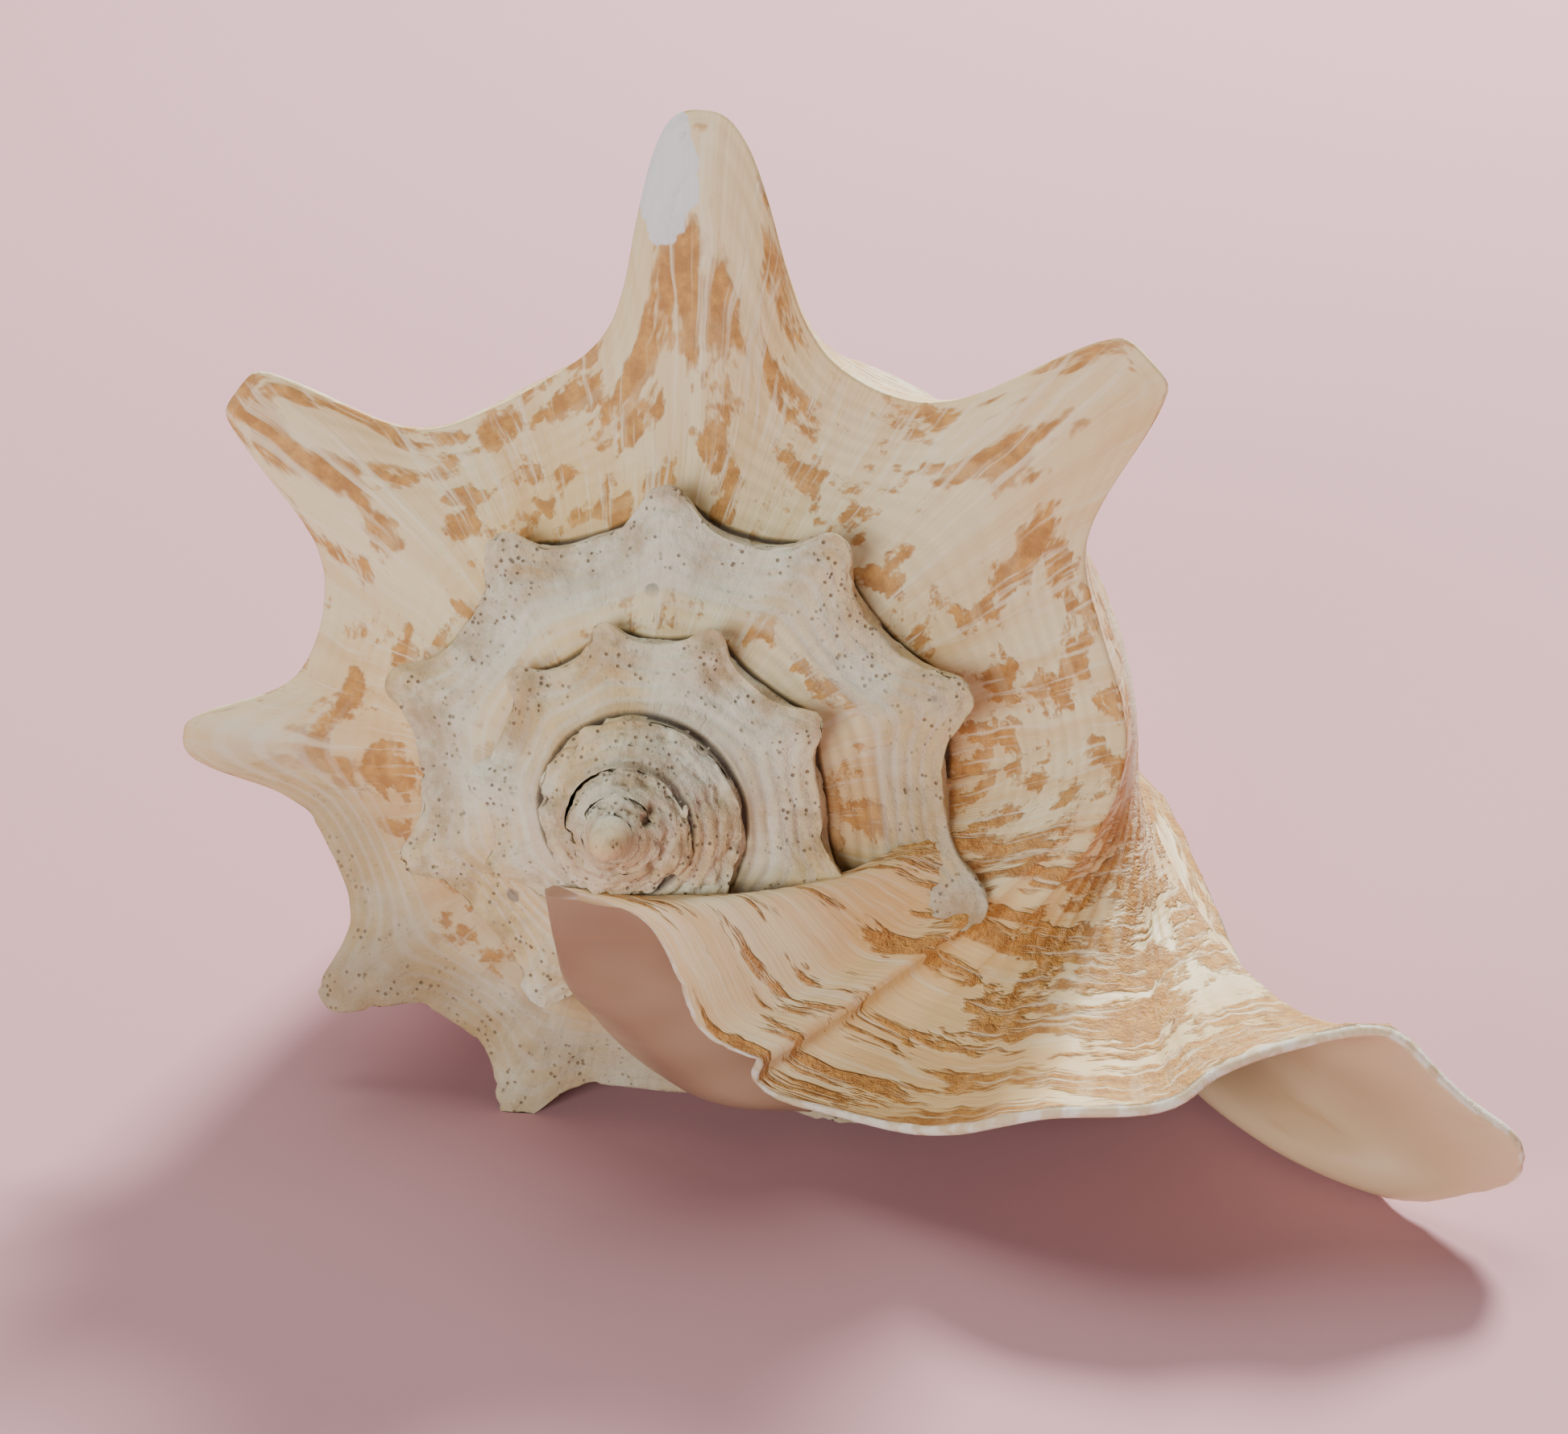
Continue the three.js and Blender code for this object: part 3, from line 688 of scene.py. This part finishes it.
# %% [markdown]
# ## Cords, growth lines and patches
# Spiral cords stand about 5 mm apart and stay white. Growth lines cross them every millimetre or two. The
# ochre patches are cut into blocks by both, so they are noise stretched to about 9 by 6 mm, then masked.
# %% Pattern masks
wobble = calc("MULTIPLY", grain(place_mm, 26, 1), 2.6)
cord_phase = calc("ADD", calc("MULTIPLY", along_at, 2 * math.pi / CORD_SPACING), wobble)
cord = calc("COSINE", cord_phase)
cord_here = ramp(grain(place_mm, 13, 2), 0.36, 0.60, 0.25, 1.0)
cord_strength = calc("MULTIPLY", cord_here, ramp(growth_at, 945.0, 905.0, 0.12, 1.0))
white_cord = calc("MULTIPLY", ramp(cord, 0.25, 0.85), cord_strength)
line_bend = calc("MULTIPLY", grain(place_mm, 18, 2), 5.0)
bent_growth = calc("ADD", growth_at, line_bend)
growth_lines = grain(vector(bent_growth, calc("MULTIPLY", along_at, 0.10)), 1.5, 3, 0.6)
broad_lines = grain(vector(bent_growth, calc("MULTIPLY", along_at, 0.07)), 6.5, 2)
white_line = ramp(growth_lines, 0.52, 0.66)
on_lip = ramp(growth_at, 903.0, 940.0)
body_place = vector(calc("MULTIPLY", bent_growth, 0.85), calc("MULTIPLY", along_at, 1.25))
lip_place = vector(calc("MULTIPLY", bent_growth, 1.5), calc("MULTIPLY", along_at, 0.55), 40.0)
patch_noise = mixed(on_lip, grain(body_place, 7.5, 4, 0.6), grain(lip_place, 9.0, 4, 0.62))
region = grain(place_mm, 60, 1)
on_wall = ramp(along_at, 2.0, 16.0)
level = calc("SUBTRACT", 0.525, calc("MULTIPLY", on_wall, 0.07))
level = calc("SUBTRACT", level, calc("MULTIPLY", calc("SUBTRACT", region, 0.5), 0.20))
patch = ramp(calc("SUBTRACT", patch_noise, level), -0.015, 0.05)
cut_share = calc("ADD", 0.25, calc("MULTIPLY", on_wall, 0.7))
cord_cut = calc("SUBTRACT", 1.0, calc("MULTIPLY", white_cord, cut_share))
patch = calc("MULTIPLY", patch, cord_cut)
patch = calc("MULTIPLY", patch, calc("SUBTRACT", 1.0, calc("MULTIPLY", white_line, 0.55)))
patch = calc("MULTIPLY", patch, calc("SUBTRACT", 1.0, ramp(worn_at, 0.15, 0.5)))
print("nodes with the pattern masks", len(tree.nodes))

# %% [markdown]
# ## Pits, worm marks, dust and painted shade
# Boring sponges leave pinholes of half a millimetre on the chalky turns, and worms leave a few grey-brown
# spots of two or three. The suture is painted dark as a thin line of shade, inside a mottled band of painted
# shade.
# %% Wear and painted shade masks
HOLE_SPACING = 1.15
SPOT_SPACING = 13.0
hole_cells = {"Vector": place_mm, "Scale": 1 / HOLE_SPACING, "Randomness": 1.0}
holes = node(tree, "ShaderNodeTexVoronoi", hole_cells).outputs["Distance"]
hole_here = ramp(grain(place_mm, 3.2, 2), 0.44, 0.60)
pinhole = calc("MULTIPLY", ramp(holes, 0.30, 0.12), hole_here)
pinhole = calc("MULTIPLY", pinhole, ramp(worn_at, 0.12, 0.55))
spot_cells = {"Vector": place_mm, "Scale": 1 / SPOT_SPACING, "Randomness": 1.0}
spots = node(tree, "ShaderNodeTexVoronoi", spot_cells)
worm_spot = calc("MULTIPLY", ramp(spots.outputs["Distance"], 0.105, 0.075), ramp(worn_at, 0.1, 0.25))
# Painted shade: the suture line and a mottled band beside it are darkened as the shade in the crease.
shaded_suture_line = calc("MULTIPLY", ramp(calc("ABSOLUTE", gap_at), 0.75, 0.12), ramp(worn_at, 0.8, 0.5))
suture_shade_band = calc("MULTIPLY", ramp(calc("ABSOLUTE", gap_at), 3.2, 0.2), grain(place_mm, 4, 3))
dust = calc("MULTIPLY", ramp(grain(place_mm, 7, 4, 0.65), 0.40, 0.66), ramp(worn_at, 0.1, 0.75))
# Painted shade: the low old spines, growth about 595 to 675 mm, are darkened to brown as the shade they lie in.
low_spines_painted_shade = calc("MULTIPLY", ramp(growth_at, 742.0, 675.0), ramp(growth_at, 535.0, 595.0))
print("nodes with the wear masks", len(tree.nodes))

# %% [markdown]
# ## Colour of the outside
# Each layer goes over the one before: cream shell, peach tint, ochre patches, white lines and chalk. They are
# mixed by the masks, so the colours stay few and the pattern comes from the growth of the shell.
# %% Colour layers
tint = blend(ramp(grain(place_mm, 34, 2), 0.35, 0.68), "#f6e6b6", "#f1cf92")
tint = blend(calc("MULTIPLY", ramp(broad_lines, 0.42, 0.66), 0.55), tint, "#e2b674")
ochre = blend(ramp(grain(place_mm, 2.4, 3, 0.6), 0.35, 0.7), "#b3752c", "#d99d47")
skin = blend(calc("MULTIPLY", patch, 0.86), tint, ochre)
lines = calc("MULTIPLY", white_line, 0.38)
wall_cord = calc("MULTIPLY", white_cord, calc("MULTIPLY", on_wall, 0.75))
skin = blend(calc("MAXIMUM", lines, wall_cord), skin, "#faf2d8")
chalk = blend(ramp(grain(place_mm, 16, 3), 0.36, 0.66), "#e6e3c9", "#e2c994")
chalk = blend(calc("MULTIPLY", ramp(growth_lines, 0.45, 0.68), 0.35), chalk, "#c7bb9b")
skin = blend(ramp(worn_at, 0.08, 0.3), skin, chalk)
print("nodes with the colour layers", len(tree.nodes))

# %% [markdown]
# ## Striae, dirt and painted shade
# Fine striae cross the ramp. The low old spines are painted brown as the shade they lie in, dust lies in the
# chalk, the holes and the worm marks are dark, and the sutures are darkened as painted shade. The wear goes
# over the colours, because it came to the shell after it had grown.
# %% Striae, dirt and painted shade layers
stria_phase = calc("ADD", calc("MULTIPLY", along_at, 3.3), calc("MULTIPLY", wobble, 3.0))
striae = ramp(calc("COSINE", stria_phase), -0.2, 0.9)
striae = calc("MULTIPLY", calc("MULTIPLY", striae, ramp(along_at, 1.0, -4.0)), ramp(worn_at, 0.02, 0.2))
skin = blend(calc("MULTIPLY", striae, 0.30), skin, "#f1efe2")
# Painted shade on the low old spines, in brown.
skin = blend(calc("MULTIPLY", calc("MULTIPLY", low_spines_painted_shade, 0.95), grain(place_mm, 18, 3)), skin, "#8a6f4c")
skin = blend(calc("MULTIPLY", dust, 0.62), skin, "#a5834f")
skin = blend(calc("MULTIPLY", pinhole, 0.8), skin, "#6f5a3f")
skin = blend(calc("MULTIPLY", worm_spot, 0.75), skin, "#857c70")
# Painted shade: the band beside the suture and the suture line itself are darkened as shade.
skin = blend(calc("MULTIPLY", suture_shade_band, 0.55), skin, "#9a7a4e")
skin = blend(calc("MULTIPLY", shaded_suture_line, 0.88), skin, "#3a2c1e")
print("nodes with the dirt", len(tree.nodes))

# %% [markdown]
# ## Lining and chip
# The lining and the callus carry painted shade: dark brown in the depth and on the callus, paler towards the
# rim, with a few stains.
# The tip of the tallest spine has lost its outer layer, so the bare white shell under it shows in one chip.
# %% Glaze, chip and rim
# Painted shade: this dark brown glaze stands for the shade deep in the opening and on the callus; only near the
# rim is the glaze its own pale peach.
glaze_with_painted_shade = blend(ramp(grain(place_mm, 30, 2), 0.35, 0.65), "#9d7a60", "#b8967a")
stain = ramp(grain(vector(calc("MULTIPLY", growth_at, 0.3), along_at), 5, 3, 0.6), 0.60, 0.74)
near_rim = ramp(growth_at, 915.0, 985.0)
glaze_with_painted_shade = blend(near_rim, glaze_with_painted_shade, blend(grain(place_mm, 22, 3), "#cfae84", "#e0c7a0"))
glaze_with_painted_shade = blend(calc("MULTIPLY", stain, 0.30), glaze_with_painted_shade, "#b98a5a")
CHIP_SQUEEZE = (1.8, 1.0, 0.85)
CHIP_MIDDLE = (-29.5, -49.5, 140.5)
squeezed = node(tree, "ShaderNodeVectorMath", {0: place_mm, 1: CHIP_SQUEEZE}, operation="MULTIPLY").outputs[0]
chip_place = [squeeze * middle for squeeze, middle in zip(CHIP_SQUEEZE, CHIP_MIDDLE)]
away = node(tree, "ShaderNodeVectorMath", {0: squeezed, 1: chip_place}, operation="DISTANCE").outputs["Value"]
chip = ramp(calc("ADD", away, calc("MULTIPLY", grain(place_mm, 3.0, 3), 5.0)), 11.2, 10.7)
skin = blend(chip, skin, "#e9ecec")
surface = blend(ramp(lining_at, 0.55, 0.95), skin, glaze_with_painted_shade)
rim_share = calc("MULTIPLY", ramp(lining_at, 0.15, 0.45), ramp(lining_at, 0.9, 0.6))
surface = blend(rim_share, surface, blend(ramp(grain(place_mm, 3.0, 3), 0.4, 0.6), "#dcc7a0", "#f0e8d4"))
tree.links.new(surface, shader.inputs["Base Color"])
print("nodes with the lining and the chip", len(tree.nodes))

# %% [markdown]
# ## Gloss and fine relief
# Chalk scatters all shine, ochre skin is rough like bark, and the lining has a soft satin glow. The relief
# that is finer than the mesh, from hairline growth lines to pinholes, goes into bumps in real millimetres.
# %% Roughness and bumps
gloss = ramp(worn_at, 0.0, 0.5, 0.52, 0.85)
gloss = calc("ADD", gloss, calc("MULTIPLY", patch, 0.25))
gloss = calc("MULTIPLY", gloss, ramp(lining_at, 0.4, 0.9, 1.0, 0.62))
tree.links.new(gloss, shader.inputs["Roughness"])
shader.inputs["IOR"].default_value = 1.53
shader.inputs["Subsurface Weight"].default_value = 0.12
shader.inputs["Subsurface Radius"].default_value = (0.0030, 0.0018, 0.0012)
shader.inputs["Subsurface Scale"].default_value = 1.0
hair_lines = grain(vector(growth_at, calc("MULTIPLY", along_at, 0.06)), 0.8, 2)
outside_share = ramp(lining_at, 0.7, 0.2)
height = calc("MULTIPLY", calc("MULTIPLY", hair_lines, 0.22), outside_share)
flakes = calc("MULTIPLY", grain(place_mm, 1.1, 3, 0.7), calc("MULTIPLY", patch, outside_share))
height = calc("ADD", height, calc("MULTIPLY", flakes, calc("ADD", 0.35, on_lip)))
height = calc("SUBTRACT", height, calc("MULTIPLY", pinhole, 0.55))
chalk_grain = calc("MULTIPLY", grain(place_mm, 0.9, 3, 0.7), ramp(worn_at, 0.05, 0.6))
chalk_grain = calc("MULTIPLY", chalk_grain, 0.55)
height = calc("ADD", height, chalk_grain)
height = calc("SUBTRACT", height, calc("MULTIPLY", shaded_suture_line, 0.5))
bump = node(tree, "ShaderNodeBump", {"Height": height, "Distance": 0.001, "Strength": 0.8})
tree.links.new(bump.outputs[0], shader.inputs["Normal"])
shell.data.materials.append(material)
print("nodes in the shell material", len(tree.nodes))

# %% [markdown]
# ## Floor
# The shell lies on one wide sheet of matt paper. It is only a backdrop, so a plain quad is enough.
# %% Paper floor
floor_mesh = bpy.data.meshes.new("studio_floor")
FLOOR_REACH = 3
corners = [(x * FLOOR_REACH, y * FLOOR_REACH, 0) for x, y in ((-1, -1), (1, -1), (1, 1), (-1, 1))]
floor_mesh.from_pydata(corners, [], [(0, 1, 2, 3)])
floor = bpy.data.objects.new("studio_floor", floor_mesh)
bpy.context.scene.collection.objects.link(floor)
paper = bpy.data.materials.new("matt_backdrop_paper")
paper.use_nodes = True
paper_shader = paper.node_tree.nodes["Principled BSDF"]
paper_shader.inputs["Base Color"].default_value = colour("#cf9da2")
paper_shader.inputs["Roughness"].default_value = 0.9
floor_mesh.materials.append(paper)
print("floor reaches", FLOOR_REACH, "metres each way")

# %% [markdown]
# ## Light
# A room gives a faint even light. A small disk behind the shell throws its shadow forward, a wide one above
# softens it, and a weak one in front keeps the spire readable.
# %% Room and softboxes
world = bpy.data.worlds.new("soft_room")
world.use_nodes = True
room = world.node_tree.nodes["Background"]
room.inputs[0].default_value = colour("#f4eef0")
room.inputs[1].default_value = 0.07
bpy.context.scene.world = world


def softbox(name, place, aim, size, power):
    light = bpy.data.lights.new(name, "AREA")
    light.shape, light.size, light.energy = "DISK", size, power
    lamp = bpy.data.objects.new(name, light)
    lamp.location = place
    lamp.rotation_euler = (Vector(aim) - Vector(place)).to_track_quat("-Z", "Y").to_euler()
    bpy.context.scene.collection.objects.link(lamp)
    return lamp


softbox("window_light", (0.32, 1.17, 1.23), (0, 0, 0.05), 0.42, 62)
softbox("ceiling_glow", (-0.35, 0.4, 1.6), (0, 0, 0.05), 1.3, 16)
softbox("front_fill", (-0.5, -1.6, 0.50), (0, 0, 0.06), 0.8, 21)
print("softboxes", len(bpy.data.lights))

# %% [markdown]
# ## Camera
# The camera looks down at the apex end from a little to the right. It is placed from what it aims at, its
# direction and its distance, so each can be changed alone.
# %% Camera
CAMERA_DISTANCE = 0.52
apex_place = Vector(APEX / 1000)
target = apex_place + Vector((0.01858, 0.040, 0.00256))
azimuth, elevation = math.radians(10.04), math.radians(26.27)
level_part = math.cos(elevation)
back = Vector((math.sin(azimuth) * level_part, -math.cos(azimuth) * level_part, math.sin(elevation)))
lens = bpy.data.cameras.new("camera")
lens.lens, lens.sensor_width = 81.08, 36
camera = bpy.data.objects.new("camera", lens)
camera.location = target + back * CAMERA_DISTANCE
camera.rotation_euler = (-back).to_track_quat("-Z", "Y").to_euler()
bpy.context.scene.collection.objects.link(camera)
bpy.context.scene.camera = camera
print("camera at", [round(v, 3) for v in camera.location])
